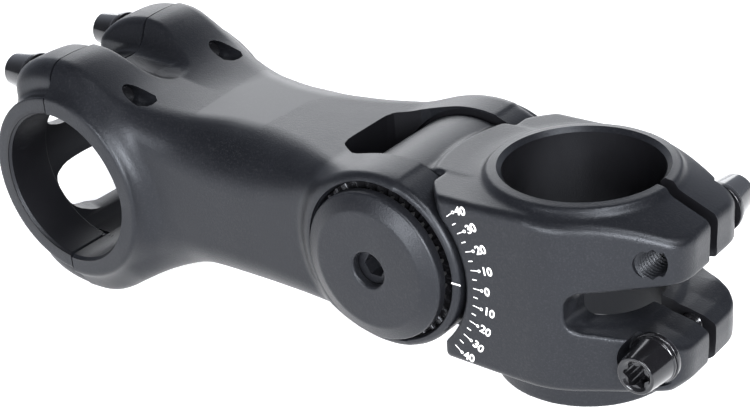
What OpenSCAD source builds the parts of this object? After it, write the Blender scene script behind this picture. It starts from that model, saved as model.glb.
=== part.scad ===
// Angle-adjustable handlebar stem for a 28.6 mm steerer tube and a 31.8 mm handlebar.
// The origin is on the steerer axis at the clamp's bottom face.
// +X points forward to the handlebar, +Y to the rider's left and +Z up along the steerer.

/* [Steerer clamp] */
// Radius of the steerer bore
steerer_r = 14.3; // [14.2:0.05:14.4]
// Height of the clamp along the steerer
clamp_h = 39; // [38.6:0.2:40]
// Radius of the round collar at the clamp's top and bottom
collar_r = 16.9; // [16.5:0.1:17.2]
// Half of the width across the clamp's side cheeks
cheek_half = 19.9; // [19.6:0.1:20.2]
// Width of the slot that lets the clamp close
slot_w = 2.6; // [2.2:0.1:3]

/* [Pivot] */
// Distance from the steerer axis to the pivot axis
pivot_x = 30.6; // [30.4:0.1:31]
// Height of the pivot axis
pivot_z = 21.3; // [21:0.1:21.5]
// Outer radius of the arm's ears
ear_r = 17.2; // [16.9:0.1:17.6]
// Half of the width of the clamp's tongue
tongue_half = 11; // [10.8:0.1:11]
// Number of lock teeth around the pivot
tooth_count = 36; // [18:18:36]

/* [Handlebar clamp] */
// Radius of the handlebar bore
bar_r = 15.9; // [15.8:0.05:16]
// Distance from the steerer axis to the handlebar axis
bar_x = 110; // [109:0.5:112]
// Height of the handlebar axis
bar_z = 18.5; // [18:0.1:19]
// Width of the handlebar clamp along the bar
bar_clamp_w = 45.8; // [45:0.2:46.4]
// Gap between the arm and the faceplate
faceplate_gap = 0.8; // [0.4:0.2:1.2]

/* [Hidden] */
$fn = 72;
eps = 0.01;
reach = 200; // longer than any piece, for cuts that go right through
satin = [0.13, 0.13, 0.14];
gloss = [0.05, 0.05, 0.055];
steel = [0.42, 0.43, 0.45];
nylon = [0.75, 0.74, 0.70];

// Steerer clamp
body_half_h = 16.1; // the forged body reaches this far above and below the pivot axis
body_low = pivot_z - body_half_h;
body_high = pivot_z + body_half_h;
cheek_front = 17.6; // front of the side cheeks
ear_gap = 1.2; // clearance round the arm's ears
brow_front = 22.6; // the cheeks reach further forward above the pivot
lug_round = 6.5; // plan radius of the rear lugs' ends
lug_x = -18.8; // centre of that radius
lug_y = 5.5;
lug_end = lug_x - lug_round;
window_low = 16.7; // opening between the upper and lower lugs
window_high = 25.1;
window_front = -7;
window_round = (window_high - window_low) / 2;
steerer_bolt_x = -20;
steerer_bolt_dz = 9.2; // the two clamp bolts sit this far from the pivot height
upper_bolt_z = pivot_z + steerer_bolt_dz;
lower_bolt_z = pivot_z - steerer_bolt_dz;
bolt_seat = 10.6; // depth of the bolt seat from the middle plane
seat_r = 5.3;

// Tongue and pivot stack, as distances from the middle plane
nose_r = 16.1;
tongue_half_h = 15.5;
journal_r = 9;
journal_end = 16.5;
hub_pocket_floor = 12;
hub_flats = 12.4;
hub_clearance = 0.06;
spring_seat_r = 5.4;
spring_floor = 5;
spring_r = 4.4;
spring_wire_r = 0.7;
spring_turns = 3;
pivot_bolt_r = 3;
pivot_hole_r = 3.3;
bush_gap = 0.05;
bush_r = 10.5;
bush_flange_r = 13.6;
flange_in = tongue_half + 0.08;
ear_in = 11.7;
ear_out = 20.2;
recess_floor = 17;
recess_r = 15.5;

// Lock discs: at rest they stand clear of the ear teeth, as with the pivot bolt slackened
backed_off = 1.2;
tooth_depth = 0.95;
tooth_mesh_gap = 0.08; // left at the tips with the teeth engaged
tooth_fill = 0.46; // share of the pitch that a tooth's foot takes up
ring_in_r = 11.6;
ring_out_r = 15.4;
ring_back = recess_floor;
ring_root = 18.1; // root of the ear teeth
ring_tip = ring_root + tooth_depth;
disc_tip = ring_root + tooth_mesh_gap + backed_off; // tip of the disc teeth at rest
disc_root = disc_tip + tooth_depth;
disc_r = 14.2;
disc_face = 22;
hub_end = 13.4;
head_seat = 16.9;
head_washer_t = 0.6;
pivot_bolt_len = 36.8;
pivot_head_r = 4.9;
pivot_head_h = 4.2;
pivot_socket_floor = 1.4; // above the underside of the head
pivot_socket_flats = 4;
head_pocket_r = 5.2;
nut_flats = 10;
nut_h = 4.2;
cover_r = 14.55;
cover_skirt = 20.5;
cover_edge = 22.4;
cover_face = 23.9;
cover_flat_r = 11.4;
tool_hole_r = 3.4;
tool_hole_chamfer = 0.3;

// Arm
beam_low = 5.6;
beam_high = 35.9;
beam_half = 19.4;
fork_front = 47.6; // front wall of the fork
fork_taper_x = 42;
fork_front_half = 7.6;
fork_r = 16.9; // clearance round the tongue's nose
split_x = bar_x + 1.4; // parting plane of the handlebar clamp
ring_r = 19.6;
bolt_y = 12.9;
bolt_dz = 18.5;
lobe_half = 6.9;
lobe_top = 26; // height of a lobe above the handlebar axis

// Faceplate
plate_front = bar_x + 15.3; // front face of the lobes
plate_seat = plate_front - 2.2;
window_half = 11.8;
window_in = 4.2; // windows lie between these heights either side of the bar axis
window_out = 14.6;

// Bolts with conical heads
bolt_r = 2.5;
bolt_hole_r = 2.56;
washer_r = 4.9;
washer_t = 1;
head_base_r = 4.4;
head_end_r = 3.35;
head_len = 6.4;
head_flange_t = 0.7;
steerer_bolt_len = 17;
faceplate_bolt_len = 26;
socket_r = 2.4;
socket_depth = 3.2;

// ---- shapes that repeat ----

// A cylinder along Y between two distances from the middle plane
module y_cylinder(x, z, r, from, to) {
    translate([x, from, z])
        rotate([-90, 0, 0])
            cylinder(h = to - from, r = r);
}

// A cylinder along X
module x_cylinder(y, z, r, from, to) {
    translate([from, y, z])
        rotate([0, 90, 0])
            cylinder(h = to - from, r = r);
}

// Extrudes an outline drawn in X and Z along Y
module side_slab(from, to) {
    translate([0, to, 0])
        rotate([90, 0, 0])
            linear_extrude(height = to - from)
                children();
}

// The pivot frame: +Z runs outward along the pivot axis, to the left or right
module at_pivot(side) {
    translate([pivot_x, 0, pivot_z])
        rotate([side > 0 ? -90 : 90, 0, 0])
            children();
}

// A washer lying on its seat, with +Z pointing at the bolt head
module plain_washer(outer, inner, thickness) {
    difference() {
        cylinder(h = thickness, r = outer);
        translate([0, 0, -1])
            cylinder(h = thickness + 2, r = inner);
    }
}

// Six-lobed driver socket
module star_socket(r, depth) {
    linear_extrude(height = depth)
        union() {
            circle(r = r * 0.84);
            for (turn = [0 : 60 : 300])
                rotate(turn)
                    translate([r * 0.8, 0])
                        circle(r = r * 0.24);
        }
}

// A bolt with a conical head, seated at the origin with its head along +Z
module cone_bolt(shank_len) {
    difference() {
        union() {
            translate([0, 0, -shank_len])
                cylinder(h = shank_len + eps, r = bolt_r);
            cylinder(h = head_flange_t, r = head_base_r);
            translate([0, 0, head_flange_t - eps])
                cylinder(h = head_len - head_flange_t + eps, r1 = head_base_r, r2 = head_end_r);
        }
        translate([0, 0, head_len - socket_depth])
            star_socket(socket_r, socket_depth + 1);
    }
}

// Radial teeth between two radii, standing on the plane z = 0
module face_teeth(inner, outer, depth, fill) {
    pitch = 360 / tooth_count;
    tip = outer * sin(pitch / 2) * fill;
    for (turn = [0 : pitch : 359])
        rotate(turn)
            translate([inner, 0, 0])
                rotate([90, 0, 90])
                    linear_extrude(height = outer - inner)
                        polygon([[-tip, -0.2], [tip, -0.2], [tip * 0.35, depth], [-tip * 0.35, depth]]);
}

// A hexagonal prism given by its width across flats
module hex_prism(flats, h) {
    cylinder(h = h, r = flats / 2 / cos(30), $fn = 6);
}

// ---- steerer clamp ----

// Outline from above: a round body with side cheeks in front and tapering lugs behind
module clamp_plan() {
    spread = norm([lug_x, lug_y]);
    lean = 180 - atan2(lug_y, -lug_x);
    flank_r = lug_round - 0.1; // the flanks meet the rounded ends at a slight angle
    tangent = lean - acos((cheek_half - flank_r) / spread);
    circle(r = cheek_half);
    translate([0, -cheek_half])
        square([brow_front, 2 * cheek_half]);
    translate([lug_end, -lug_y])
        square([10, 2 * lug_y]);
    for (side = [-1, 1]) {
        translate([lug_x, side * lug_y])
            circle(r = lug_round);
        polygon([[0, 0],
            [cheek_half * cos(tangent), side * cheek_half * sin(tangent)],
            [lug_x + flank_r * cos(tangent), side * (lug_y + flank_r * sin(tangent))],
            [lug_x, 0]]);
    }
}

// Outline from the side: flat in front, sloping down towards the lugs
module clamp_side() {
    polygon([[-10, body_high], [-22.6, 35.4], [lug_end, 33], [lug_end, body_low + 3],
        [lug_end + 3, body_low], [cheek_front - 1.6, body_low], [cheek_front, body_low + 1.6],
        [cheek_front, pivot_z], [brow_front, pivot_z], [brow_front, body_high]]);
}

// Opening between the lugs, flared towards the rear
module clamp_window() {
    translate([window_front - window_round, (window_low + window_high) / 2])
        circle(r = window_round);
    polygon([[window_front - window_round, window_low], [-15, 16.2], [-19.3, 15.2], [-26, 12.6],
        [-26, 27.2], [-18.3, 25.6], [window_front - window_round, window_high]]);
}

module tongue() {
    side_slab(-tongue_half, tongue_half)
        union() {
            translate([pivot_x, pivot_z])
                circle(r = nose_r);
            translate([0, pivot_z - tongue_half_h])
                square([pivot_x, 2 * tongue_half_h]);
        }
}

module steerer_clamp() color(satin) difference() {
    union() {
        difference() {
            intersection() {
                translate([0, 0, body_low - 1])
                    linear_extrude(height = body_high - body_low + 2)
                        clamp_plan();
                side_slab(-reach / 2, reach / 2)
                    clamp_side();
            }
            for (side = [-1, 1])
                at_pivot(side)
                    translate([0, 0, tongue_half])
                        cylinder(h = reach, r = ear_r + ear_gap);
        }
        cylinder(h = clamp_h, r = collar_r);
        tongue();
        y_cylinder(pivot_x, pivot_z, journal_r, -journal_end, journal_end);
    }
    translate([0, 0, -1])
        cylinder(h = clamp_h + 2, r = steerer_r);
    translate([-reach, -slot_w / 2, -1])
        cube([reach, slot_w, clamp_h + 2]);
    side_slab(-reach / 2, reach / 2)
        clamp_window();
    // clamp bolt holes and their seats
    y_cylinder(steerer_bolt_x, upper_bolt_z, bolt_hole_r, -reach / 2, reach / 2);
    y_cylinder(steerer_bolt_x, lower_bolt_z, bolt_hole_r, -reach / 2, reach / 2);
    y_cylinder(steerer_bolt_x, upper_bolt_z, seat_r, -reach / 2, -bolt_seat);
    y_cylinder(steerer_bolt_x, lower_bolt_z, seat_r, bolt_seat, reach / 2);
    // pivot bolt hole, spring seats and the hexagonal pockets that hold the lock discs
    y_cylinder(pivot_x, pivot_z, pivot_hole_r, -reach / 2, reach / 2);
    for (side = [-1, 1])
        at_pivot(side) {
            translate([0, 0, spring_floor])
                cylinder(h = reach, r = spring_seat_r);
            translate([0, 0, hub_pocket_floor])
                hex_prism(hub_flats + 2 * hub_clearance, reach);
        }
}

// Seats a child on a clamp bolt's seat, with +Z pointing outward
module at_upper_bolt() {
    translate([steerer_bolt_x, -bolt_seat, upper_bolt_z])
        rotate([90, 0, 0])
            children();
}

module at_lower_bolt() {
    translate([steerer_bolt_x, bolt_seat, lower_bolt_z])
        rotate([-90, 0, 0])
            children();
}

module bolt_washer() color(gloss)
    plain_washer(washer_r, bolt_hole_r, washer_t);

module steerer_bolt() color(gloss)
    translate([0, 0, washer_t])
        cone_bolt(steerer_bolt_len);

// ---- arm ----

// Height of the handlebar lobes' outline above the bar axis, from the beam to the parting plane
module lobe_side() {
    polygon([[bar_x - 27, 10], [bar_x - 27, 15.5], [bar_x - 19, 17.3], [bar_x - 14.5, 19],
        [bar_x - 10, 21.5], [bar_x - 6.2, 24], [bar_x - 3, 25.6], [bar_x - 0.6, lobe_top],
        [split_x, lobe_top], [split_x, 10]]);
}

module beam_side() {
    polygon([[pivot_x, beam_low], [pivot_x + 46, beam_low], [bar_x - 20, beam_low - 4],
        [bar_x - 8, beam_low - 4], [bar_x - 8, beam_high], [pivot_x, beam_high]]);
}

module beam_plan() {
    polygon([[pivot_x, -beam_half], [78, -beam_half + 0.4], [bar_x - 18, -beam_half - 0.9],
        [bar_x - 11, -bar_clamp_w / 2], [bar_x, -bar_clamp_w / 2], [bar_x, bar_clamp_w / 2],
        [bar_x - 11, bar_clamp_w / 2], [bar_x - 18, beam_half + 0.9], [78, beam_half - 0.4],
        [pivot_x, beam_half]]);
}

// The four bolt lobes, mirrored above and below the handlebar axis
module four_lobes(half) {
    for (flip = [0, 1])
        for (side = [-1, 1])
            translate([0, 0, bar_z])
                mirror([0, 0, flip])
                    side_slab(side * bolt_y - half, side * bolt_y + half)
                        children();
}

module extension_arm() color(satin) difference() {
    union() {
        intersection() {
            side_slab(-reach / 2, reach / 2)
                beam_side();
            linear_extrude(height = reach)
                beam_plan();
        }
        for (side = [-1, 1])
            at_pivot(side)
                translate([0, 0, ear_in])
                    cylinder(h = ear_out - ear_in, r = ear_r);
        y_cylinder(bar_x, bar_z, ring_r, -bar_clamp_w / 2, bar_clamp_w / 2);
        four_lobes(lobe_half)
            lobe_side();
    }
    // handlebar bore and parting plane
    y_cylinder(bar_x, bar_z, bar_r, -reach / 2, reach / 2);
    translate([split_x - faceplate_gap / 2, -reach / 2, -reach / 2])
        cube([reach, reach, reach]);
    for (z = [bar_z - bolt_dz, bar_z + bolt_dz])
        for (y = [-bolt_y, bolt_y])
            x_cylinder(y, z, bolt_hole_r, bar_x - 18.5, reach);
    // fork: straight sides, a tapered front and room for the tongue's nose
    translate([-reach + fork_taper_x, -ear_in, -reach / 2])
        cube([reach, 2 * ear_in, reach]);
    translate([0, 0, -reach / 2])
        linear_extrude(height = reach)
            polygon([[fork_taper_x - eps, -ear_in], [fork_front, -fork_front_half],
                [fork_front, fork_front_half], [fork_taper_x - eps, ear_in]]);
    y_cylinder(pivot_x, pivot_z, fork_r, -ear_in, ear_in);
    // ear bores, and the recesses that hold the toothed rings and lock discs
    y_cylinder(pivot_x, pivot_z, bush_r + bush_gap, -reach / 2, reach / 2);
    for (side = [-1, 1])
        at_pivot(side)
            translate([0, 0, recess_floor])
                cylinder(h = reach, r = recess_r);
}

module tooth_ring(side) color(gloss) at_pivot(side) {
    translate([0, 0, ring_back])
        plain_washer(ring_out_r, ring_in_r, ring_root - ring_back);
    translate([0, 0, ring_root])
        face_teeth(ring_in_r + 0.1, ring_out_r - 0.15, tooth_depth, tooth_fill);
}

module pivot_bush(side) color(nylon) at_pivot(side) difference() {
    union() {
        translate([0, 0, flange_in])
            cylinder(h = ear_in - bush_gap - flange_in, r = bush_flange_r);
        translate([0, 0, flange_in])
            cylinder(h = recess_floor - 0.4 - flange_in, r = bush_r);
    }
    cylinder(h = reach, r = journal_r + bush_gap);
}

// ---- lock discs ----

// The toothed disc slides in the journal's hexagonal pocket and cannot turn in it
module lock_disc(side) color(steel) at_pivot(side) {
    difference() {
        union() {
            translate([0, 0, disc_root])
                cylinder(h = disc_face - disc_root, r = disc_r);
            translate([0, 0, hub_end])
                hex_prism(hub_flats, disc_root - hub_end + eps);
        }
        cylinder(h = reach, r = pivot_hole_r);
        if (side > 0)
            translate([0, 0, head_seat])
                cylinder(h = reach, r = head_pocket_r);
        else
            translate([0, 0, head_seat])
                hex_prism(nut_flats + 0.15, reach);
    }
    translate([0, 0, disc_root])
        mirror([0, 0, 1])
            rotate(180 / tooth_count)
                face_teeth(ring_in_r + 0.2, disc_r - 0.1, tooth_depth, tooth_fill);
}

// The cover closes the disc and keeps the bolt head in; only the left one has a tool hole
module lock_cover(side) color(satin) at_pivot(side) difference() {
    union() {
        translate([0, 0, cover_skirt])
            cylinder(h = cover_edge - cover_skirt, r = cover_r);
        translate([0, 0, cover_edge - eps])
            cylinder(h = cover_face - cover_edge + eps, r1 = cover_r, r2 = cover_flat_r);
    }
    translate([0, 0, cover_skirt - 1])
        cylinder(h = disc_face - cover_skirt + 1 + bush_gap, r = disc_r + bush_gap);
    if (side > 0) {
        cylinder(h = reach, r = tool_hole_r);
        translate([0, 0, cover_face - tool_hole_chamfer])
            cylinder(h = tool_hole_chamfer + eps, r1 = tool_hole_r, r2 = tool_hole_r + tool_hole_chamfer);
    }
}

// A closed tube of round wire along a helix, standing on z = 0
module helix_wire(r, wire_r, turns, rise) {
    steps = 16;
    sides = 8;
    last = turns * steps;
    points = [for (step = [0 : last], side = [0 : sides - 1])
        let (turn = 360 * step / steps, around = 360 * side / sides,
            out = r + wire_r * cos(around))
        [out * cos(turn), out * sin(turn), rise * step / steps + wire_r * (1 + sin(around))]];
    walls = [for (step = [0 : last - 1], side = [0 : sides - 1])
        [step * sides + side, (step + 1) * sides + side,
            (step + 1) * sides + (side + 1) % sides, step * sides + (side + 1) % sides]];
    ends = [[for (side = [0 : sides - 1]) side],
        [for (side = [sides - 1 : -1 : 0]) last * sides + side]];
    polyhedron(points = points, faces = concat(walls, ends), convexity = 6);
}

// A return spring under the disc's hub, drawn at its length with the disc locked
module lock_spring(side) color(steel) at_pivot(side) {
    length = hub_end - backed_off - spring_floor - 0.1;
    translate([0, 0, hub_end - 0.05 - length])
        helix_wire(spring_r, spring_wire_r, spring_turns, (length - 2 * spring_wire_r) / spring_turns);
}

module pivot_washer() color(steel) at_pivot(1)
    translate([0, 0, head_seat])
        plain_washer(pivot_head_r, pivot_hole_r, head_washer_t);

module pivot_bolt() color(gloss) at_pivot(1)
    translate([0, 0, head_seat + head_washer_t])
        difference() {
            union() {
                translate([0, 0, -pivot_bolt_len])
                    cylinder(h = pivot_bolt_len + eps, r = pivot_bolt_r);
                cylinder(h = pivot_head_h, r = pivot_head_r);
            }
            translate([0, 0, pivot_socket_floor])
                hex_prism(pivot_socket_flats, pivot_head_h);
        }

module pivot_nut() color(steel) at_pivot(-1) difference() {
    translate([0, 0, head_seat])
        hex_prism(nut_flats, nut_h);
    cylinder(h = reach, r = pivot_bolt_r + bush_gap);
}

// ---- faceplate ----

module plate_side() {
    polygon([[split_x, 10], [split_x, lobe_top - 0.3], [bar_x + 6.5, lobe_top - 0.8],
        [bar_x + 11, lobe_top - 2.4], [bar_x + 14, lobe_top - 4.6], [plate_front, lobe_top - 7],
        [plate_front, 13.4], [bar_x + 13, 9]]);
}

module faceplate() color(satin) difference() {
    union() {
        y_cylinder(bar_x, bar_z, ring_r, -bar_clamp_w / 2, bar_clamp_w / 2);
        four_lobes(lobe_half)
            plate_side();
    }
    y_cylinder(bar_x, bar_z, bar_r, -reach / 2, reach / 2);
    translate([split_x + faceplate_gap / 2 - reach, -reach / 2, -reach / 2])
        cube([reach, reach, reach]);
    for (flip = [0, 1])
        translate([0, 0, bar_z])
            mirror([0, 0, flip]) {
                translate([bar_x + 5, -window_half, window_in])
                    cube([reach, 2 * window_half, window_out - window_in]);
                for (y = [-bolt_y, bolt_y]) {
                    x_cylinder(y, bolt_dz, bolt_r + 0.25, bar_x, reach);
                    x_cylinder(y, bolt_dz, seat_r, plate_seat, reach);
                }
            }
}

// Places a child on one of the four faceplate bolt seats, with +Z pointing forward
module at_faceplate_bolt(side, level) {
    translate([plate_seat, side * bolt_y, bar_z + level * bolt_dz])
        rotate([0, 90, 0])
            children();
}

module faceplate_bolt(side, level) color(gloss) at_faceplate_bolt(side, level)
    translate([0, 0, washer_t])
        cone_bolt(faceplate_bolt_len);

module faceplate_washer(side, level)
    at_faceplate_bolt(side, level)
        bolt_washer();

steerer_clamp();
at_upper_bolt() bolt_washer();  // steerer_washer_upper
at_upper_bolt() steerer_bolt();  // steerer_bolt_upper
at_lower_bolt() bolt_washer();  // steerer_washer_lower
at_lower_bolt() steerer_bolt();  // steerer_bolt_lower
extension_arm();
tooth_ring(1);  // tooth_ring_left
tooth_ring(-1);  // tooth_ring_right
pivot_bush(1);  // pivot_bush_left
pivot_bush(-1);  // pivot_bush_right
lock_disc(1);  // lock_disc_left
lock_cover(1);  // lock_cover_left
lock_spring(1);  // lock_spring_left
pivot_washer();
pivot_bolt();
lock_disc(-1);  // lock_disc_right
lock_cover(-1);  // lock_cover_right
lock_spring(-1);  // lock_spring_right
pivot_nut();
faceplate();
faceplate_washer(1, 1);  // faceplate_washer_top_left
faceplate_bolt(1, 1);  // faceplate_bolt_top_left
faceplate_washer(-1, 1);  // faceplate_washer_top_right
faceplate_bolt(-1, 1);  // faceplate_bolt_top_right
faceplate_washer(1, -1);  // faceplate_washer_bottom_left
faceplate_bolt(1, -1);  // faceplate_bolt_bottom_left
faceplate_washer(-1, -1);  // faceplate_washer_bottom_right
faceplate_bolt(-1, -1);  // faceplate_bolt_bottom_right
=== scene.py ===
import math

import bmesh
import bpy
import numpy as np
import openvdb
from mathutils import Matrix, Vector


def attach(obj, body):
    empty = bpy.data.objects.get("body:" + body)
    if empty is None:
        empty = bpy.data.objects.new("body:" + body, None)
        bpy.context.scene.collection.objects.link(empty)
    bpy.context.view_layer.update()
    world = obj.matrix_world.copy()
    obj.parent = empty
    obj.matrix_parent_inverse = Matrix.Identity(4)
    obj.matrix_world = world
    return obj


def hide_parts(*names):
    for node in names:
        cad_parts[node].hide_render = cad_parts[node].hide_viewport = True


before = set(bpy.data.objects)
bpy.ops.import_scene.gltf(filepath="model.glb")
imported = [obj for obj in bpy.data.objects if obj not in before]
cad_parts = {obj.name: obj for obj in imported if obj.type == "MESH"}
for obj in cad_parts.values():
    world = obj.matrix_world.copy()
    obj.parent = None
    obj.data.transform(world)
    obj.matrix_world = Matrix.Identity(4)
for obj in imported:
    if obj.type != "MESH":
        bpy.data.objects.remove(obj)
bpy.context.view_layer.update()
mm = 0.001
finePitch = 0.3  # spacing of the samples that a forged body is shaped from, in mm

# where things sit, in mm: the steerer axis is the z axis, and the bar lies along y
layout = {
    "pivot": (30.6, 21.3),  # x and z of the tilt axis
    "bar": (110.0, 18.5),  # x and z of the bar axis
    "steererR": 14.3,
    "barR": 15.9,
    "split": 111.4,  # parting plane of the bar clamp
    "gap": 0.8,
    "boltY": 12.9,
    "boltRise": 18.5,
    "seat": 123.1,  # seats of the faceplate bolts
    "rearBoltX": -20.0,
    "rearRise": 9.2,
    "rearSeat": 10.6,
}


# the field tools each return the distance to a surface, negative inside it
def circle(u, v, cu, cv, r):
    return np.hypot(u - cu, v - cv) - r


def outline(u, v, points):
    nearest, inside = None, None
    for i, (bu, bv) in enumerate(points):
        au, av = points[i - 1]
        eu, ev = bu - au, bv - av
        wu, wv = u - au, v - av
        t = np.clip((wu * eu + wv * ev) / (eu * eu + ev * ev + 1e-12), 0, 1)
        gap = (wu - eu * t) ** 2 + (wv - ev * t) ** 2
        crossing = ((av > v) != (bv > v)) & (u < eu * (v - av) / (ev if abs(ev) > 1e-9 else 1e-9) + au)
        nearest = gap if nearest is None else np.minimum(nearest, gap)
        inside = crossing if inside is None else inside ^ crossing
    return np.where(inside, -1, 1) * np.sqrt(nearest)


def soften(points, rounds=2, keep=0.25):  # cuts an outline's corners into curves
    for _ in range(rounds):
        new = []
        for i in range(len(points)):
            a, b = np.array(points[i - 1]), np.array(points[i])
            new += [tuple(a + (b - a) * keep), tuple(b - (b - a) * keep)]
        points = new
    return points


def both(a, b, r):  # where both are solid, with the edge between them rounded
    return np.minimum(-r, np.maximum(a, b)) + np.hypot(np.maximum(a + r, 0), np.maximum(b + r, 0))


def either(a, b, r):  # where either is solid, with the inside corner filled
    return np.maximum(r, np.minimum(a, b)) - np.hypot(np.maximum(r - a, 0), np.maximum(r - b, 0))


def smoothAlong(x, stations, column, samples=400, blur=31):  # a value that eases from station to station
    at = np.array([p[0] for p in stations], float)
    value = np.array([p[column] for p in stations], float)
    fine = np.linspace(at[0], at[-1], samples)
    line = np.interp(fine, at, value)
    window = np.hanning(blur)
    line = np.convolve(np.pad(line, blur // 2, mode="edge"), window / window.sum(), "valid")
    return np.interp(x, fine, line).astype(np.float32)


def outlineHeight(x, points):  # height of a line drawn in side view
    return np.interp(x, [p[0] for p in points], [p[1] for p in points]).astype(np.float32)


def melt(a, b, r):  # a looser join than either(), for forged blends
    h = np.clip(0.5 + 0.5 * (b - a) / r, 0, 1)
    return b + (a - b) * h - r * h * (1 - h)


def shaped(name, low, high, field, settle=2):  # a mesh of the surface where a field is zero
    pitch = finePitch
    reach = 4 * pitch  # how far from the surface the field is kept
    counts = [int(math.ceil((h - l) / pitch)) + 1 for l, h in zip(low, high)]
    x = (low[0] + pitch * np.arange(counts[0], dtype=np.float32))[:, None, None]
    y = (low[1] + pitch * np.arange(counts[1], dtype=np.float32))[None, :, None]
    z = (low[2] + pitch * np.arange(counts[2], dtype=np.float32))[None, None, :]
    values = np.broadcast_to(field(x, y, z), counts).astype(np.float32)
    values = np.clip(values, -reach, reach)
    grid = openvdb.FloatGrid(reach)
    grid.copyFromArray(np.ascontiguousarray(values))
    points, quads = grid.convertToQuads(0.0)
    points = points * pitch + np.array(low)
    mesh = bpy.data.meshes.new(name)
    mesh.from_pydata((points * mm).tolist(), [], quads.tolist())
    piece = bpy.data.objects.new(name, mesh)
    bpy.context.scene.collection.objects.link(piece)
    bm = bmesh.new()
    bm.from_mesh(mesh)
    for _ in range(settle):
        bmesh.ops.smooth_vert(bm, verts=bm.verts, factor=0.5,
                              use_axis_x=True, use_axis_y=True, use_axis_z=True)
    bm.to_mesh(mesh)
    bm.free()
    return piece


def fromMesh(name, bm):
    bmesh.ops.recalc_face_normals(bm, faces=bm.faces)
    mesh = bpy.data.meshes.new(name)
    bm.to_mesh(mesh)
    bm.free()
    piece = bpy.data.objects.new(name, mesh)
    bpy.context.scene.collection.objects.link(piece)
    return piece


def frameAt(origin, outward):  # +Z of a piece's own frame runs along outward
    turn = Vector(outward).to_track_quat("Z", "Y").to_matrix().to_4x4()
    return Matrix.Translation(Vector(origin) * mm) @ turn


def placed(piece, origin, outward=(0, 0, 1)):
    piece.data.transform(frameAt(origin, outward))
    return piece


def eased(profile, r):  # rounds the corners of a turned profile
    out = [profile[0]]
    for i in range(1, len(profile) - 1):
        a, p, b = (np.array(profile[j], float) for j in (i - 1, i, i + 1))
        la, lb = np.linalg.norm(a - p), np.linalg.norm(b - p)
        if min(la, lb) < 1e-6:
            out.append(tuple(p))
            continue
        reach = min(r, 0.45 * la, 0.45 * lb)
        start, end = p + (a - p) / la * reach, p + (b - p) / lb * reach
        for t in (0, 0.25, 0.5, 0.75, 1):
            out.append(tuple((1 - t) ** 2 * start + 2 * t * (1 - t) * p + t * t * end))
    out.append(profile[-1])
    return out


def turned(name, profile, segments=96):  # the profile is a list of (radius, height)
    bm = bmesh.new()
    rings = []
    for r, h in profile:
        if r < 1e-6:
            rings.append([bm.verts.new((0, 0, h * mm))])
        else:
            rings.append([bm.verts.new((r * mm * math.cos(2 * math.pi * i / segments),
                                        r * mm * math.sin(2 * math.pi * i / segments), h * mm))
                          for i in range(segments)])
    closed = profile[0][0] > 1e-6 and profile[-1][0] > 1e-6
    pairs = list(zip(rings, rings[1:])) + ([(rings[-1], rings[0])] if closed else [])
    for a, b in pairs:
        for i in range(segments):
            j = (i + 1) % segments
            corners = [a[i % len(a)], a[j % len(a)], b[j % len(b)], b[i % len(b)]]
            corners = list(dict.fromkeys(corners))
            if len(corners) > 2:
                bm.faces.new(corners)
    return fromMesh(name, bm)


def prism(name, points, low, high, along="y"):  # an outline pushed along one axis
    bm = bmesh.new()
    place = {"x": lambda u, v, w: (w * mm, u * mm, v * mm),
             "y": lambda u, v, w: (u * mm, w * mm, v * mm),
             "z": lambda u, v, w: (u * mm, v * mm, w * mm)}[along]
    lower = [bm.verts.new(place(u, v, low)) for u, v in points]
    upper = [bm.verts.new(place(u, v, high)) for u, v in points]
    bm.faces.new(lower)
    bm.faces.new(upper[::-1])
    for i in range(len(points)):
        bm.faces.new([lower[i - 1], lower[i], upper[i], upper[i - 1]])
    return fromMesh(name, bm)


def settled(piece):  # the mesh with its modifiers worked in
    bpy.context.view_layer.update()
    return bpy.data.meshes.new_from_object(piece.evaluated_get(bpy.context.evaluated_depsgraph_get()))


def carve(piece, tools):  # takes the tools' shapes out of a piece, and the tools away
    for tool in tools:
        cut = piece.modifiers.new("cut", "BOOLEAN")
        cut.object, cut.operation, cut.solver = tool, "DIFFERENCE", "MANIFOLD"
        mesh = settled(piece)
        if len(mesh.polygons) < 8:
            print("  the quick cut failed on", piece.name, "with", tool.name, "- using the exact one")
            cut.solver = "EXACT"
            mesh = settled(piece)
        piece.modifiers.clear()
        old = piece.data
        piece.data = mesh
        bpy.data.meshes.remove(old)
        bpy.data.objects.remove(tool)
    return piece


def joined(name, pieces):
    bm = bmesh.new()
    for piece in pieces:
        bm.from_mesh(piece.data)
        bpy.data.objects.remove(piece)
    return fromMesh(name, bm)


def shade(piece, degrees=32):
    piece.data.shade_smooth()
    piece.data.set_sharp_from_angle(angle=math.radians(degrees))
    return piece


def fitted(piece, body, finish, slot, *nodes, degrees=32):
    shade(piece, degrees)
    piece.data.materials.clear()
    piece.data.materials.append(finish)
    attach(piece, body)
    if nodes:
        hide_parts(*nodes)
    return piece


def lined(piece, finish, inside):  # paints shade: a second finish for the faces whose middles pass a test
    mesh = piece.data
    mesh.materials.append(finish)
    middles = np.zeros(len(mesh.polygons) * 3, np.float32)
    mesh.polygons.foreach_get("center", middles)
    x, y, z = (middles.reshape(-1, 3) / mm).T
    mesh.polygons.foreach_set("material_index", inside(x, y, z).astype(np.int32))
    mesh.update()
    return piece


# what all finishes share; sizes in mm
surface = {
    "tint": (0.86, 0.91, 1, 1), "shine": 0.3, "coatRough": 0.12,
    "cloud": 14, "bump": 0.045, "bandEdge": 0.08,
}


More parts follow.
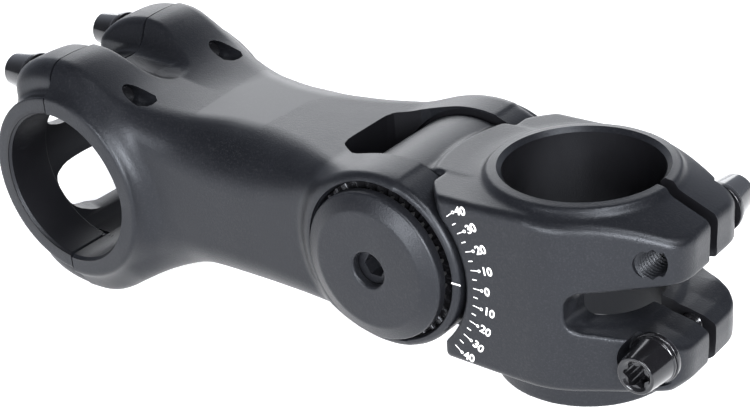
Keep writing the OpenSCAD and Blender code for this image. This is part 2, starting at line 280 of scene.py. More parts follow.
def bandMask(nodes, links, place, band):  # 1 on top of the arm between two slanting lines, 0 elsewhere
    apart = nodes.new("ShaderNodeSeparateXYZ")
    links.new(place.outputs["Object"], apart.inputs["Vector"])

    def beyond(x, slope, sign):  # a soft step across the line x = start + slope * y
        line = nodes.new("ShaderNodeMath")
        line.operation = "MULTIPLY_ADD"
        line.inputs[1].default_value, line.inputs[2].default_value = -slope, -x * mm
        links.new(apart.outputs["Y"], line.inputs[0])
        gap = nodes.new("ShaderNodeMath")
        gap.operation = "ADD"
        links.new(apart.outputs["X"], gap.inputs[0])
        links.new(line.outputs["Value"], gap.inputs[1])
        step = nodes.new("ShaderNodeMapRange")
        step.inputs["From Min"].default_value = -surface["bandEdge"] * mm * sign
        step.inputs["From Max"].default_value = surface["bandEdge"] * mm * sign
        links.new(gap.outputs["Value"], step.inputs["Value"])
        return step.outputs["Result"]

    masks = [beyond(*band["rear"], 1), beyond(*band["corner"], 1), beyond(*band["front"], -1)]
    above = nodes.new("ShaderNodeMath")
    above.operation = "GREATER_THAN"
    above.inputs[1].default_value = band["above"] * mm
    links.new(apart.outputs["Z"], above.inputs[0])
    total = above.outputs["Value"]
    masks[0:2] = [combine(nodes, links, "MAXIMUM", masks[0], masks[1])]
    for mask in masks:
        total = combine(nodes, links, "MULTIPLY", total, mask)
    return total


def combine(nodes, links, how, a, b):
    node = nodes.new("ShaderNodeMath")
    node.operation = how
    links.new(a, node.inputs[0])
    links.new(b, node.inputs[1])
    return node.outputs["Value"]


def finish(name, colour, rough, metal=0.0, grain=0.0, grainSize=0.25, sparkle=0.0,
           variation=0.1, coat=0.0, band=None):
    mat = bpy.data.materials.new(name)
    mat.use_nodes = True
    nodes, links = mat.node_tree.nodes, mat.node_tree.links
    shader = nodes["Principled BSDF"]
    shader.inputs["Metallic"].default_value = metal
    shader.inputs["Specular Tint"].default_value = surface["tint"]
    shader.inputs["Specular IOR Level"].default_value = surface["shine"]
    shader.inputs["Coat Weight"].default_value = coat
    shader.inputs["Coat Roughness"].default_value = surface["coatRough"]
    place = nodes.new("ShaderNodeTexCoord")
    fine = nodes.new("ShaderNodeTexNoise")
    fine.inputs["Scale"].default_value = 1 / (grainSize * mm)
    fine.inputs["Detail"].default_value = 3
    fine.inputs["Roughness"].default_value = 0.65
    broad = nodes.new("ShaderNodeTexNoise")
    broad.inputs["Scale"].default_value = 1 / (surface["cloud"] * mm)
    broad.inputs["Detail"].default_value = 4
    links.new(place.outputs["Object"], fine.inputs["Vector"])
    links.new(place.outputs["Object"], broad.inputs["Vector"])
    tint = nodes.new("ShaderNodeValToRGB")
    tint.color_ramp.elements[0].position, tint.color_ramp.elements[1].position = 0.35, 0.72
    tint.color_ramp.elements[0].color = (*[c * (1 - variation) for c in colour], 1)
    tint.color_ramp.elements[1].color = (*[c * (1 + variation) for c in colour], 1)
    links.new(broad.outputs["Fac"], tint.inputs["Fac"])
    base = tint.outputs["Color"]
    if sparkle:
        specks = nodes.new("ShaderNodeValToRGB")
        specks.color_ramp.elements[0].position, specks.color_ramp.elements[1].position = 0.5, 0.76
        specks.color_ramp.elements[0].color = (0, 0, 0, 1)
        specks.color_ramp.elements[1].color = (sparkle, sparkle, sparkle * 1.05, 1)
        links.new(fine.outputs["Fac"], specks.inputs["Fac"])
        lit = nodes.new("ShaderNodeMix")
        lit.data_type, lit.blend_type = "RGBA", "ADD"
        lit.inputs["Factor"].default_value = 1
        links.new(base, lit.inputs[6])
        links.new(specks.outputs["Color"], lit.inputs[7])
        base = lit.outputs[2]
    links.new(base, shader.inputs["Base Color"])
    roughness = nodes.new("ShaderNodeMapRange")
    roughness.inputs["To Min"].default_value = max(rough - 0.05, 0.02)
    roughness.inputs["To Max"].default_value = rough + 0.06
    links.new(broad.outputs["Fac"], roughness.inputs["Value"])
    smooth = bandMask(nodes, links, place, band) if band else None
    if smooth:
        polished = nodes.new("ShaderNodeMix")
        polished.inputs["B"].default_value = band["rough"]
        links.new(smooth, polished.inputs["Factor"])
        links.new(roughness.outputs["Result"], polished.inputs["A"])
        links.new(polished.outputs["Result"], shader.inputs["Roughness"])
    else:
        links.new(roughness.outputs["Result"], shader.inputs["Roughness"])
    if grain:
        bump = nodes.new("ShaderNodeBump")
        bump.inputs["Strength"].default_value = grain
        bump.inputs["Distance"].default_value = surface["bump"] * mm
        if smooth:
            rest = nodes.new("ShaderNodeMapRange")
            rest.inputs["To Min"].default_value, rest.inputs["To Max"].default_value = grain, 0.03
            links.new(smooth, rest.inputs["Value"])
            links.new(rest.outputs["Result"], bump.inputs["Strength"])
        links.new(fine.outputs["Fac"], bump.inputs["Height"])
        links.new(bump.outputs["Normal"], shader.inputs["Normal"])
    return mat


blasted = {"colour": (0.0055, 0.006, 0.0078), "rough": 0.34, "grain": 1.0, "grainSize": 0.34, "sparkle": 0.01}
# a smooth plain panel crosses the arm's top: each edge is its x at y = 0 and its slant
panel = {"front": (82.9, -0.094), "rear": (65.6, 0.036), "corner": (68.0, 0.6), "above": 35.1, "rough": 0.3}
blastedBlack = finish("blastedBlack", **blasted)
armBlack = finish("armBlack", **blasted, band=panel)
coverBlack = finish("coverBlack", (0.007, 0.0075, 0.0095), 0.36, grain=1.0, grainSize=0.36, sparkle=0.01)
# painted shade: a darker black for bores, slots and the fork's inner walls, with its own roughness and grain
paintedShadeBlack = finish("paintedShadeBlack", (0.004, 0.004, 0.005), 0.36, grain=0.7, grainSize=0.3)
boltBlack = finish("boltBlack", (0.006, 0.006, 0.007), 0.16, grain=0.15, grainSize=0.4, coat=0.5)
toothBlack = finish("toothBlack", (0.006, 0.006, 0.007), 0.2, grain=0.15, grainSize=0.4)
discSteel = finish("discSteel", (0.06, 0.061, 0.064), 0.34, metal=0.7, grain=0.25, grainSize=0.35)
springSteel = finish("springSteel", (0.42, 0.42, 0.44), 0.3, metal=1.0, grain=0.1)
bushNylon = finish("bushNylon", (0.55, 0.54, 0.50), 0.5, grain=0.25, grainSize=0.5)
scaleWhite = finish("scaleWhite", (0.86, 0.86, 0.87), 0.55, grain=0.2, grainSize=0.3, variation=0.04)
print("finishes made")

armShape = {
    "earR": 17.2, "earFace": 20.2, "earIn": 11.7, "earEase": 1.3, "farEase": 3.3, "earBlend": 3.5,
    "high": 35.9, "beamEnd": 108,
    # stations along the arm: x, half width, height of the underside, edge radius above and below
    "stations": [(14, 19.3, 6.9, 2.5, 2.5), (38, 19.3, 6.7, 2.5, 3), (45, 19.0, 6.3, 5.6, 4),
                 (53, 18.8, 5.6, 9.0, 6), (62, 18.6, 5.2, 11.0, 7), (73, 18.6, 5.0, 11.0, 7.5),
                 (82, 18.8, 4.8, 9.0, 7.5), (92, 19.3, 4.6, 6.5, 6), (112, 19.8, 4.6, 5.0, 5)],
    "ringR": 19.6, "ringHalf": 22.9, "ringBlend": 4.5,
    "lobeEdge": 3.8, "lobeBlend": 4, "crown": 0.010, "crownY": 13.5,
    "lobeWide": [(70, 13.0), (82, 15.5), (90, 18.2), (96, 20.2), (103, 20.6), (112, 20.6)],
    "scoopHalf": 4.9, "scoopStart": 98.6, "scoopFloor": 38.1, "scoopSpread": 0.45, "scoopEdge": 0.5,
    "boreChamfer": 0.45, "threadIn": 2.2, "threadOut": 2.65, "threadLength": 22.2, "drilled": 9.0,
    "bushR": 10.6, "recessR": 15.5, "recessRim": 15.85, "recessFloor": 17.0, "noseRoom": 16.9,
    "forkTaper": 41.5, "forkEnd": 47.6, "forkEndHalf": 7.4,
}
# the lobes' outlines above and below, as x and height from the bar's axis
upperLobe = [(72, 2), (72, 8), (80, 12.6), (86, 15.6), (91, 17.7), (95.5, 19.6), (99.8, 21.9),
             (103.2, 24.0), (106.4, 25.6), (109.6, 26.2), (118, 26.2), (118, 2)]
lowerLobe = [(72, 2), (72, 7), (80, 12.4), (86, 15.6), (92, 18.4), (97, 21.4), (101, 24.0),
             (105, 25.6), (109, 26.0), (118, 26.0), (118, 2)]


def valleyHalf(rise):  # the valleys between the lobes widen upwards
    return armShape["scoopHalf"] + armShape["scoopSpread"] * np.clip(rise - 20, 0, 8)


def crownOf(ay):  # the lobes' tops are slightly domed across the arm
    return armShape["crown"] * (ay - armShape["crownY"]) ** 2


def armField(x, y, z):
    s = armShape
    ay = np.abs(y)
    px, pz = layout["pivot"]
    bx, bz = layout["bar"]
    wide, low, over, under = (smoothAlong(x, s["stations"], i) for i in (1, 2, 3, 4))
    beam = both(both(ay - wide, z - s["high"], over), low - z, under)
    beam = np.maximum(beam, np.maximum(px - 2 - x, x - s["beamEnd"]))
    ear, earSide = circle(x, z, px, pz, s["earR"]), ay - s["earFace"]
    ears = np.where(y > 0, both(ear, earSide, s["earEase"]), both(ear, earSide, s["farEase"]))
    body = either(beam, ears, s["earBlend"])
    up = outline(x, z - bz, soften(upperLobe))
    down = outline(x, bz - z, soften(lowerLobe))
    lobes = both(np.minimum(up, down) + crownOf(ay), ay - smoothAlong(x, s["lobeWide"], 1), s["lobeEdge"])
    body = melt(body, lobes, s["lobeBlend"])
    ring = both(circle(x, z, bx, bz, s["ringR"]), ay - s["ringHalf"], 0.35)
    body = either(body, ring, s["ringBlend"])
    for level in (1, -1):
        rise = (z - bz) * level
        half = valleyHalf(rise)
        straight = np.maximum(s["scoopStart"] - x, ay - half)
        plan = np.minimum(circle(x, y, s["scoopStart"], 0, 0) - half, straight)
        scoop = both(plan * 0.9, s["scoopFloor"] - bz - 0.07 * (bx - x) - rise, 2.8)
        body = both(body, -scoop, s["scoopEdge"])
    return body


# threads from the seat inwards, then a plain stretch with a drill's cone at its end
def threadCutter(name, inner, outer, length, pitch=0.8, plain=0.0, mouth=0.0):
    profile, h = [(0, 0), (inner, 0)], 0.0
    if mouth:  # the hole opens a little at the surface
        profile = [(0, -4), (mouth, -4), (mouth, 0), (outer, 0.2), (inner, 0.5)]
        h = 0.5
    while h < length - plain - pitch:
        profile += [(inner, h + 0.1 * pitch), (outer, h + 0.45 * pitch),
                    (outer, h + 0.55 * pitch), (inner, h + 0.95 * pitch)]
        h += pitch
    if plain:
        profile += [(outer, length - plain), (outer, length - 1.8), (outer * 0.55, length - 0.3)]
    else:
        profile += [(inner, length)]
    profile += [(0, length)]
    return turned(name, profile, 72)


def rod(name, r, reach, segments, at):  # a plain round cutter along y, through both sides
    profile = [(0, -reach), (r, -reach), (r, reach), (0, reach)]
    return placed(turned(name, profile, segments), (at[0], 0, at[1]), (0, 1, 0))


def makeArm():
    s = armShape
    px, pz = layout["pivot"]
    bx, bz = layout["bar"]
    r, c = layout["barR"], s["boreChamfer"]
    arm = shaped("arm_body", (11, -24, -9), (113, 24, 46), armField)
    face = layout["split"] - layout["gap"] / 2
    tools = [
        prism("behindSplit", [(face, -20), (face + 60, -20), (face + 60, 60), (face, 60)], -40, 40),
        rod("bore", r, 40, 180, layout["bar"]),
    ]
    for side in (1, -1):
        cone = [(0, 0), (r - 0.05, 0), (r + c + 0.05, c + 0.1), (r + c + 0.05, 5), (0, 5)]
        start = (bx, side * (s["ringHalf"] - c), bz)
        tools.append(placed(turned("boreEdge", cone, 180), start, (0, side, 0)))
        for level in (1, -1):
            thread = threadCutter("boltHole", s["threadIn"], s["threadOut"],
                                  s["threadLength"], plain=s["drilled"])
            mouth = (face + 2, side * layout["boltY"], bz + level * layout["boltRise"])
            tools.append(placed(thread, mouth, (-1, 0, 0)))
    wide, narrow, taper, end = s["earIn"], s["forkEndHalf"], s["forkTaper"], s["forkEnd"]
    fork = [(-30, -wide), (taper, -wide), (end, -narrow), (end, narrow), (taper, wide), (-30, wide)]
    tools.append(prism("fork", soften(fork, 2, 0.12), -30, 70, "z"))
    tools.append(rod("noseRoom", s["noseRoom"], wide, 120, layout["pivot"]))
    for side in (1, -1):
        recess = [(0, 6), (s["bushR"], 6), (s["bushR"], s["recessFloor"]), (s["recessR"], s["recessFloor"]),
                  (s["recessR"], s["earFace"] - 0.3), (s["recessRim"], s["earFace"] + 0.1),
                  (s["recessRim"], 30), (0, 30)]
        tools.append(placed(turned("recess", eased(recess, 0.12), 144), (px, 0, pz), (0, side, 0)))
    carve(arm, tools)
    fitted(arm, "arm", armBlack, "satin_black", "extension_arm")

    def lining(x, y, z):  # painted shade: a darker black on the bar's bore, and on the fork's walls up to just below the top
        bore = np.hypot(x - bx, z - bz) < r + 0.1
        walls = (np.abs(y) < wide + 0.1) & (x < end + 0.4) & (np.abs(z - 21) < 14.4)
        return bore | walls

    return lined(arm, paintedShadeBlack, lining)


arm = makeArm()
print("arm made:", len(arm.data.polygons), "faces")

clampShape = {
    "roundR": 19.9, "front": 17.6, "brow": 26.0, "browR": 26.2,
    "low": 5.0, "high": 37.4, "top": 39.0, "shoulder": 38.1, "fall": 0.44,
    "collarR": 16.9, "collarBlend": 1.3, "earRoom": 18.3,
    "tongueHalf": 11.0, "noseR": 16.1, "tongueRise": 15.5, "journalR": 9, "journalHalf": 16.5,
    "pivotHoleR": 3.3, "springSeatR": 5.4, "springSeatY": 5, "hexR": 7.23, "hexY": 12,
    "boltHoleR": 2.7, "boltSeatR": 5.3,
    "threadIn": 2.35, "threadOut": 2.8, "threadLength": 13.4, "threadY": 13.0,
    "lug": (-18.8, 5.5, 6.5), "edge": 1.5, "ridge": 1.3, "windowFront": -6.7, "slot": 2.6,
    # the rear window's floor and roof in side view, and the low arch across its floor: place, length, rise
    "windowFloor": [(-28, 12.4), (-25, 13.3), (-22.5, 14.6), (-19.3, 15.3),
                    (-14.6, 16.0), (-10.8, 16.6), (-6, 17.2)],
    "windowRoof": [(-28, 27.3), (-18.3, 25.6), (-11.7, 24.7), (-6, 24.0)],
    "arch": (-20.5, 3.6, 0.7), "windowRound": 2.2, "windowEnd": 2.6, "windowLip": 0.6,
}


def clampField(x, y, z):
    s = clampShape
    ay = np.abs(y)
    px, pz = layout["pivot"]
    lx, ly, lr = s["lug"]
    lean = math.pi - math.atan2(ly, -lx)
    touch = lean - math.acos((s["roundR"] - lr) / math.hypot(lx, ly))
    c, n = math.cos(touch), math.sin(touch)
    flank = [(0, -1), (s["roundR"] * c, s["roundR"] * n), (lx + lr * c, ly + lr * n), (lx, -1)]
    plan = np.minimum(circle(x, y, 0, 0, s["roundR"]), circle(x, ay, lx, ly, lr))
    plan = np.minimum(plan, outline(x, ay, flank))
    plan = np.minimum(plan, np.maximum(np.maximum(lx - lr - x, x), ay - ly))
    plan = np.minimum(plan, np.maximum(np.maximum(-x, x - s["brow"] - 4), ay - s["roundR"]))
    # the top falls away from the collar like a cone behind, and runs on almost level in front
    cone = s["shoulder"] - s["fall"] * (np.hypot(x, y) - s["collarR"])
    level = s["high"] + 0.4 * np.minimum(x, 0)
    top = (z + melt(-cone, -level, 1.5)) * 0.93
    profile = [(s["brow"] + 4, 60), (-30, 60), (lx - lr, 32.6), (lx - lr, 7.4), (-22.0, s["low"] + 0.2),
               (0, s["low"] - 0.5), (s["front"] + 0.8, s["low"]), (s["brow"] + 4, s["low"])]
    side = outline(x, z, soften(profile, 1, 0.12))
    body = both(both(plan, np.maximum(side, -30 - x), s["edge"]), top, s["ridge"])
    # the cheeks end in a round of their own above the pivot, and square off below it
    front = np.where(z < pz, x - s["front"], circle(x, y, 0, 0, s["browR"]))
    body = both(body, front, 0.6)
    earRoom = both(circle(x, z, px, pz, s["earRoom"]), s["tongueHalf"] - ay, 0.3)
    body = both(body, -earRoom, 0.3)
    floor = outlineHeight(x, s["windowFloor"])
    archX, archLong, archRise = s["arch"]
    arch = archRise * np.exp(-((x - archX) / archLong) ** 2) * np.clip((ay - 6) / 5, 0, 1)
    roof = outlineHeight(x, s["windowRoof"])
    window = both(both(floor + arch - z, z - roof, s["windowRound"]), x - s["windowFront"], s["windowEnd"])
    body = both(body, -window, s["windowLip"])
    collar = both(circle(x, y, 0, 0, s["collarR"]), np.abs(z - s["top"] / 2) - s["top"] / 2, 0.35)
    collar = both(collar, -window, s["windowLip"])
    body = either(body, collar, s["collarBlend"])
    nose = np.minimum(circle(x, z, px, pz, s["noseR"]),
                      np.maximum(np.maximum(-x, x - px), np.abs(z - pz) - s["tongueRise"]))
    tongue = both(nose, ay - s["tongueHalf"], 0.9)
    body = either(body, tongue, 1.2)
    journal = np.maximum(circle(x, z, px, pz, s["journalR"]), ay - s["journalHalf"])
    return np.minimum(body, journal)


def makeClamp():
    s = clampShape
    px, pz = layout["pivot"]
    clamp = shaped("clamp_body", (-27, -21.5, -1.5), (48.5, 21.5, 40.5), clampField)
    r, top, half = layout["steererR"], s["top"], s["slot"] / 2
    bore = [(0, -5), (r + 3, -5), (r + 3, -2.6), (r, 0.5),
            (r, top - 0.5), (r + 3, top + 2.5), (r + 3, top + 5), (0, top + 5)]
    tools = [
        turned("bore", bore, 180),
        prism("slot", [(-40, -half), (0, -half), (0, half), (-40, half)], -5, 45, "z"),
        rod("pivotHole", s["pivotHoleR"], 40, 48, layout["pivot"]),
    ]
    pockets = (("springSeat", s["springSeatR"], s["springSeatY"], 64), ("hexPocket", s["hexR"], s["hexY"], 6))
    for side in (1, -1):
        for name, wide, start, segments in pockets:
            pocket = turned(name, [(0, start), (wide, start), (wide, 30), (0, 30)], segments)
            tools.append(placed(pocket, (px, 0, pz), (0, side, 0)))
    # each bolt has a seat and a clearance hole on its head's side, and threads on the far side
    hole, wide, seat, x = s["boltHoleR"], s["boltSeatR"], layout["rearSeat"], layout["rearBoltX"]
    for side, z in ((-1, pz + layout["rearRise"]), (1, pz - layout["rearRise"])):
        head = eased([(0, 0.5), (hole, 0.5), (hole, seat), (wide, seat), (wide, 30), (0, 30)], 0.1)
        tools.append(placed(turned("boltSeat", head, 72), (x, 0, z), (0, side, 0)))
        thread = threadCutter("boltThread", s["threadIn"], s["threadOut"],
                              s["threadLength"], mouth=s["threadOut"])
        tools.append(placed(thread, (x, -side * s["threadY"], z), (0, side, 0)))
    carve(clamp, tools)
    fitted(clamp, "base", blastedBlack, "satin_black", "steerer_clamp")

    def lining(x, y, z):  # painted shade: a darker black on the steerer's bore and the slot's walls
        return (np.hypot(x, y) < r + 0.1) | ((np.abs(y) < half + 0.05) & (x < 0))

    return lined(clamp, paintedShadeBlack, lining)


clamp = makeClamp()
print("steerer clamp made:", len(clamp.data.polygons), "faces")

plateShape = {
    "ringR": 19.6, "half": 22.9, "lobeHalf": 20.4, "lobeEdge": 3.8,
    "windowHalf": 11.8, "windowIn": 4.2, "windowOut": 14.6, "recessHalf": 12.6, "recessR": 17.0,
    "mouthR": 16.4, "boltHoleR": 2.75, "boltSeatR": 5.3,
}
# the outline of its lobes, as x and height from the bar's axis
plateLobe = [(108, 4), (108, 25.9), (112.5, 25.9), (117, 25.3), (121.2, 23.7),
             (124.2, 21.2), (125.3, 18.6), (125.3, 13.6), (122.5, 8)]


def plateField(x, y, z):
    s = plateShape
    ay = np.abs(y)
    bx, bz = layout["bar"]
    rise = np.abs(z - bz)
    ring = both(circle(x, z, bx, bz, s["ringR"]), ay - s["half"], 0.4)
    inside = valleyHalf(rise) + 0.3
    lobes = both(outline(x, rise, soften(plateLobe)) + crownOf(ay), ay - s["lobeHalf"], s["lobeEdge"])
    lobes = both(lobes, inside - ay, 1.2)
    return either(ring, lobes, 1.6)


def makePlate():
    s = plateShape
    bx, bz = layout["bar"]
    plate = shaped("faceplate_body", (109, -24, -9), (131, 24, 46), plateField)
    face = layout["split"] + layout["gap"] / 2
    r, mouth, deep, half = layout["barR"], s["mouthR"], s["recessR"], s["recessHalf"]
    bore = [(mouth, s["half"] - 0.2), (r, s["half"] - 0.6), (r, half), (deep, half - 0.6)]
    bore = [(0, 40), (mouth, 40)] + bore
    bore = [(u, -v) for u, v in bore] + bore[::-1]
    tools = [
        prism("behindSplit", [(face - 60, -20), (face, -20), (face, 60), (face - 60, 60)], -40, 40),
        placed(turned("bore", eased(bore, 0.15), 180), (bx, 0, bz), (0, 1, 0)),
    ]
    wide, hole, head, seat = s["windowHalf"], s["boltHoleR"], s["boltSeatR"], layout["seat"] - bx
    for level in (1, -1):
        low, high = sorted((bz + level * s["windowIn"], bz + level * s["windowOut"]))
        corner = soften([(-wide, low), (wide, low), (wide, high), (-wide, high)], 3, 0.2)
        tools.append(prism("window", corner, bx + 5, 140, "x"))
        for side in (1, -1):
            profile = eased([(0, 0), (hole, 0), (hole, seat), (head, seat), (head, 40), (0, 40)], 0.1)
            centre = (bx, side * layout["boltY"], bz + level * layout["boltRise"])
            tools.append(placed(turned("boltHole", profile, 72), centre, (1, 0, 0)))
    carve(plate, tools)
    fitted(plate, "front", blastedBlack, "satin_black", "faceplate")
    # painted shade: the bore and its recess get the darker black
    return lined(plate, paintedShadeBlack, lambda x, y, z: np.hypot(x - bx, z - bz) < s["recessR"] + 0.1)


plate = makePlate()
print("faceplate made:", len(plate.data.polygons), "faces")

boltShape = {
    "shankR": 2.2, "rootR": 1.9, "pitch": 0.8, "rearLength": 17, "frontLength": 26,
    "headR": 4.4, "tipR": 3.45, "head": 6.4, "socketR": 2.5, "socketDepth": 3.2, "starDip": 0.13,
    "washerR": 4.65, "washerIn": 2.6, "washer": 1.0,
}


def starCutter(name, r, depth, above=2.0):
    points, dip = [], boltShape["starDip"]
    for i in range(72):
        a = 2 * math.pi * i / 72
        reach = r * (1 - dip + dip * math.cos(6 * a))
        points.append((reach * math.cos(a), reach * math.sin(a)))
    return prism(name, points, -depth, above, "z")


def coneBolt(name, length, origin, outward):
    s = boltShape
    root, crest, step, top = s["rootR"], s["shankR"], s["pitch"], s["head"]
    profile = [(0, -length), (root, -length)]
    h = -length + 0.3
    while h < -3.4:  # the shank is plain close under the head
        profile += [(root, h), (crest, h + 0.3 * step), (crest, h + 0.4 * step), (root, h + 0.7 * step)]
        h += step
    head = [(crest + 0.25, h + 0.3), (crest + 0.25, 0), (s["headR"], 0), (s["headR"], 0.55),
            (s["tipR"] + 0.72, 0.75), (s["tipR"], top),
            (s["socketR"] + 0.45, top), (s["socketR"] - 0.1, top - 0.4)]
    profile += eased(head, 0.18) + [(0, top - 0.4)]
    bolt = turned(name, profile, 64)
    cutter = starCutter("socket", s["socketR"], s["socketDepth"])
    cutter.data.transform(Matrix.Translation((0, 0, top * mm)))
    carve(bolt, [cutter])
    return placed(bolt, origin, outward)


def washer(name, origin, outward):
    outer, inner, thick = boltShape["washerR"], boltShape["washerIn"], boltShape["washer"]
    profile = [(inner, 0.3), (inner, 0), (outer, 0), (outer, thick), (inner, thick), (inner, 0.3)]
    return placed(turned(name, eased(profile, 0.22)[:-1], 72), origin, outward)


def makeBolts():
    s = boltShape
    pz, bz = layout["pivot"][1], layout["bar"][1]
    x, seat = layout["rearBoltX"], layout["rearSeat"]
    for level, side, word in ((1, -1, "upper"), (-1, 1, "lower")):
        z, out = pz + level * layout["rearRise"], (0, side, 0)
        disc = washer(f"rear_washer_{word}", (x, side * seat, z), out)
        fitted(disc, f"{word}_washer", boltBlack, "gloss_black", f"steerer_washer_{word}")
        bolt = coneBolt(f"rear_bolt_{word}", s["rearLength"], (x, side * (seat + s["washer"]), z), out)
        fitted(bolt, f"{word}_screw", boltBlack, "gloss_black", f"steerer_bolt_{word}")
    seat, out = layout["seat"], (1, 0, 0)
    for level, high in ((1, "top"), (-1, "bottom")):
        for side, hand in ((1, "left"), (-1, "right")):
            y, z = side * layout["boltY"], bz + level * layout["boltRise"]
            disc = washer(f"front_washer_{high}_{hand}", (seat, y, z), out)
            fitted(disc, "front", boltBlack, "gloss_black", f"faceplate_washer_{high}_{hand}")
            bolt = coneBolt(f"front_bolt_{high}_{hand}", s["frontLength"], (seat + s["washer"], y, z), out)
            fitted(bolt, "front", boltBlack, "gloss_black", f"faceplate_bolt_{high}_{hand}")


makeBolts()
print("bolts and washers made")

lockShape = {
    "coverR": 14.55, "coverIn": 14.25, "skirt": 20.5, "edge": 22.4, "face": 23.9, "back": 22.05,
    "flatR": 11.4, "toolR": 3.4, "coverEase": 0.45,
    "teeth": 36, "toothFill": 0.46, "depth": 0.95,
    "ringIn": 11.6, "ringOut": 15.4, "ringBack": 17.0, "root": 18.1,
}


def toothRow(name, inner, outer, base, depth):  # a ring of teeth that narrow towards their tips
    bm = bmesh.new()
    count = lockShape["teeth"]
    half = outer * math.sin(math.pi / count) * lockShape["toothFill"]
    section = [(-half, -0.2), (half, -0.2), (half * 0.55, depth * 0.82),
               (half * 0.3, depth), (-half * 0.3, depth), (-half * 0.55, depth * 0.82)]
    for k in range(count):
        a = 2 * math.pi * k / count
        c, n = math.cos(a), math.sin(a)
        rim = []
        for r in (inner, outer):
            for w, h in section:
                rim.append(bm.verts.new(((r * c - w * n) * mm, (r * n + w * c) * mm, (base + h) * mm)))
        lower, upper = rim[:6], rim[6:]
        bm.faces.new(lower)
        bm.faces.new(upper[::-1])
        for i in range(6):
            bm.faces.new([lower[i - 1], lower[i], upper[i], upper[i - 1]])
    return fromMesh(name, bm)


def makeLocks():
    s = lockShape
    px, pz = layout["pivot"]
    near, far, back, root = s["ringIn"], s["ringOut"], s["ringBack"], s["root"]
    face, hole = s["face"], s["toolR"]
    for side, hand in ((1, "left"), (-1, "right")):
        out = (0, side, 0)
        ring = [(near, back + 0.3), (near, back), (far, back), (far, root), (near, root), (near, back + 0.3)]
        row = toothRow("row", near + 0.1, far - 0.1, root, s["depth"])
        teeth = joined(f"ear_teeth_{hand}", [turned("back", eased(ring, 0.15)[:-1], 144), row])
        fitted(placed(teeth, (px, 0, pz), out), "arm", toothBlack, "gloss_black", f"tooth_ring_{hand}")
        profile = [(s["coverIn"], s["skirt"]), (s["coverR"], s["skirt"]),
                   (s["coverR"], s["edge"]), (s["flatR"], face)]
        if hand == "left":  # only this one has the tool hole
            profile += [(hole + 0.35, face), (hole, face - 0.35), (hole, s["back"])]
        else:
            profile += [(0.0, face), (0.0, s["back"])]
        profile += [(s["coverIn"], s["back"]), (s["coverIn"], s["skirt"])]
        profile = eased(profile, s["coverEase"])
        if hand == "left":
            profile = profile[:-1]
        cover = placed(turned(f"cover_{hand}", profile, 144), (px, 0, pz), out)
        fitted(cover, f"lock_{hand}", coverBlack, "satin_black", f"lock_cover_{hand}", degrees=50)


makeLocks()
print("locks made")

# the pieces inside the pivot keep their own meshes and only get a finish
insideFinishes = {
    "lock_disc_left": discSteel, "lock_disc_right": discSteel, "pivot_nut": discSteel,
    "lock_spring_left": springSteel, "lock_spring_right": springSteel, "pivot_washer": springSteel,
    "pivot_bush_left": bushNylon, "pivot_bush_right": bushNylon, "pivot_bolt": coverBlack,
}
for node, mat in insideFinishes.items():
    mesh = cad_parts[node].data
    mesh.materials.clear()
    mesh.materials.append(mat)


scaleShape = {
    "inner": 20.0, "long": 21.5, "short": 20.9, "line": 0.14, "dot": 0.25, "dotLine": 0.12,
    "digit": 2.25, "digitR": 22.3, "digitBold": 0.045, "thick": 0.03, "index": (15.6, 17.5, 0.3),
}


def strip(bm, a, b, width, y):  # a thin printed line from a to b, on a face at this y
    a, b = Vector(a), Vector(b)
    side = Vector((-(b - a).y, (b - a).x)).normalized() * width / 2
    corners = [a - side, a + side, b + side, b - side]
    lower = [bm.verts.new((p.x * mm, y * mm, p.y * mm)) for p in corners]
    upper = [bm.verts.new((p.x * mm, (y + scaleShape["thick"]) * mm, p.y * mm)) for p in corners]
    bm.faces.new(lower)
    bm.faces.new(upper[::-1])
    for i in range(4):
        bm.faces.new([lower[i - 1], lower[i], upper[i], upper[i - 1]])


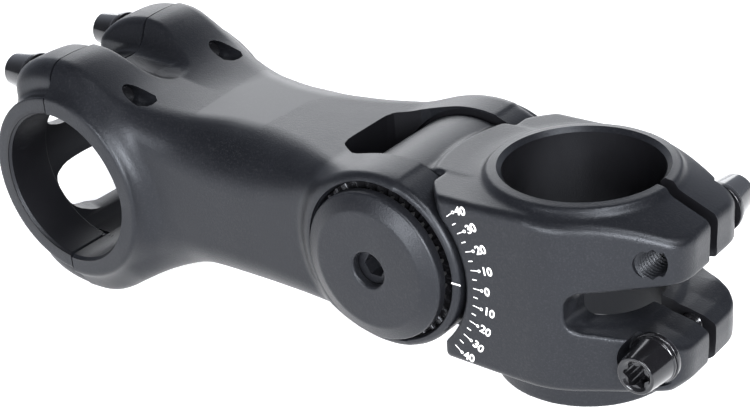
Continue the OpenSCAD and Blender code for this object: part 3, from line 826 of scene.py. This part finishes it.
def makeScale():
    s = scaleShape
    px, pz = layout["pivot"]
    cheek = clampShape["roundR"]
    bm = bmesh.new()
    for k in range(-8, 9):
        a = math.radians(5 * k)
        outer = s["short"] if k % 2 else s["long"]
        ends = [(px - r * math.cos(a), pz + r * math.sin(a)) for r in (s["inner"], outer)]
        strip(bm, ends[0], ends[1], s["line"] * (1.3 if k % 2 else 1), cheek)
        if k % 2 == 0:  # each ten-degree line ends in a small open ring
            r = s["long"] + s["dot"]
            spot = (px - r * math.cos(a), pz + r * math.sin(a))
            rim = []
            for i in range(13):
                t = 2 * math.pi * i / 12
                rim.append((spot[0] + s["dot"] * math.cos(t), spot[1] + s["dot"] * math.sin(t)))
            for start, end in zip(rim, rim[1:]):
                strip(bm, start, end, s["dotLine"], cheek)
    fitted(fromMesh("scale_ticks", bm), "base", scaleWhite, "satin_black")
    for k in range(-4, 5):
        a = math.radians(10 * k)
        text = bpy.data.curves.new(f"digits{k}", "FONT")
        text.body, text.size = str(abs(10 * k)), s["digit"] * mm
        text.extrude, text.offset = s["thick"] / 2 * mm, s["digitBold"] * mm
        text.align_x, text.align_y = "LEFT", "CENTER"
        holder = bpy.data.objects.new("holder", text)
        bpy.context.scene.collection.objects.link(holder)
        mesh = settled(holder)
        bpy.data.objects.remove(holder)
        word = "up" if k > 0 else "down" if k < 0 else "zero"
        digits = bpy.data.objects.new(f"scale_number_{word}_{abs(10 * k)}", mesh)
        bpy.context.scene.collection.objects.link(digits)
        # reading direction runs outward from the pivot, face to the rider's left
        tilt = a if abs(k) < 4 else a / 4  # the outermost ones stand nearly level
        along = Vector((-math.cos(tilt), 0, math.sin(tilt)))
        up = Vector((math.sin(tilt), 0, math.cos(tilt)))
        turn = Matrix((along, up, along.cross(up))).transposed().to_4x4()
        spot = Vector((px - s["digitR"] * math.cos(a), cheek + s["thick"], pz + s["digitR"] * math.sin(a)))
        mesh.transform(Matrix.Translation(spot * mm) @ turn)
        fitted(digits, "base", scaleWhite, "satin_black")
    bm = bmesh.new()
    near, far, wide = s["index"]  # the line on the ear that points at the scale
    strip(bm, (px - near, pz), (px - far, pz), wide, armShape["earFace"])
    fitted(fromMesh("index_line", bm), "arm", scaleWhite, "satin_black")


makeScale()
print("scale made")

studio = {
    "eye": (-146.09, 233.94, 173.29),  # in mm
    "yaw": -0.87992, "pitch": 0.4694, "roll": -0.08927,  # in radians
    "sensor": 36, "lens": 84.787,
    "sky": 0.85, "skyDark": (0.04, 0.042, 0.048, 1), "skyPale": (0.72, 0.76, 0.86, 1),
    "paleFrom": 0.5, "paleTo": 0.86, "paleSide": (0.52, -0.84, -0.15),
    "floorZ": -0.0085, "floorSize": 3, "floorColour": (0.93, 0.93, 0.94, 1), "floorGlow": 0.52,
    "lamps": {  # place, aim, size and power, in metres and watts
        "keyLeft": ((-0.8, 0.85, 0.42), (0.1, 0, 0.02), 0.4, 26.0),
        "keyFront": ((0.05, 1.25, 0.3), (0.03, 0, 0.02), 0.4, 14.0),
        "floorSoft": ((-0.7, 0.3, 1.1), (0.05, 0, 0.0), 0.5, 15.0),
        "backSoft": ((0.75, -0.95, 0.5), (0.05, 0, 0.02), 0.9, 7.0),
    },
}


def makeStudio():
    s = studio
    bpy.context.scene.view_settings.view_transform = "Standard"
    world = bpy.data.worlds.new("studio")
    bpy.context.scene.world = world
    world.use_nodes = True
    nodes, links = world.node_tree.nodes, world.node_tree.links
    where = nodes.new("ShaderNodeTexCoord")
    lean = nodes.new("ShaderNodeVectorMath")  # how far a direction leans to the pale side of the room
    lean.operation = "DOT_PRODUCT"
    lean.inputs[1].default_value = s["paleSide"]
    links.new(where.outputs["Generated"], lean.inputs[0])
    ramp = nodes.new("ShaderNodeValToRGB")
    ramp.color_ramp.interpolation = "EASE"
    dark, pale = ramp.color_ramp.elements
    dark.position, pale.position = s["paleFrom"], s["paleTo"]
    dark.color, pale.color = s["skyDark"], s["skyPale"]
    half = nodes.new("ShaderNodeMapRange")
    half.inputs["From Min"].default_value, half.inputs["From Max"].default_value = -1, 1
    links.new(lean.outputs["Value"], half.inputs["Value"])
    links.new(half.outputs["Result"], ramp.inputs["Fac"])
    links.new(ramp.outputs["Color"], nodes["Background"].inputs["Color"])
    nodes["Background"].inputs["Strength"].default_value = s["sky"]
    bm = bmesh.new()
    bmesh.ops.create_grid(bm, x_segments=8, y_segments=8, size=s["floorSize"])
    bmesh.ops.translate(bm, verts=bm.verts, vec=(0, 0, s["floorZ"]))
    floor = fromMesh("floor", bm)
    mat = bpy.data.materials.new("floorPale")
    mat.use_nodes = True
    shader = mat.node_tree.nodes["Principled BSDF"]
    shader.inputs["Base Color"].default_value = s["floorColour"]
    shader.inputs["Roughness"].default_value = 0.9
    shader.inputs["Emission Color"].default_value = (0.97, 0.98, 1, 1)
    shader.inputs["Emission Strength"].default_value = s["floorGlow"]
    floor.data.materials.append(mat)
    for name, (spot, aim, size, power) in s["lamps"].items():
        light = bpy.data.lights.new(name, "AREA")
        light.size, light.energy = size, power
        lamp = bpy.data.objects.new(name, light)
        lamp.location = spot
        lamp.rotation_euler = (Vector(aim) - Vector(spot)).to_track_quat("-Z", "Y").to_euler()
        bpy.context.scene.collection.objects.link(lamp)
    level = math.cos(s["pitch"])
    ahead = Vector((level * math.cos(s["yaw"]), level * math.sin(s["yaw"]), -math.sin(s["pitch"])))
    right = ahead.cross(Vector((0, 0, 1))).normalized()
    up = right.cross(ahead)
    c, n = math.cos(s["roll"]), math.sin(s["roll"])
    across, upward = right * c + up * n, up * c - right * n
    camera = bpy.data.cameras.new("camera")
    camera.sensor_width, camera.lens = s["sensor"], s["lens"]
    camera.clip_start = 0.01
    eye = bpy.data.objects.new("camera", camera)
    facing = Matrix((across, upward, -ahead)).transposed().to_4x4()
    eye.matrix_world = Matrix.Translation(Vector(s["eye"]) * mm) @ facing
    bpy.context.scene.collection.objects.link(eye)
    bpy.context.scene.camera = eye


makeStudio()
print("studio made")
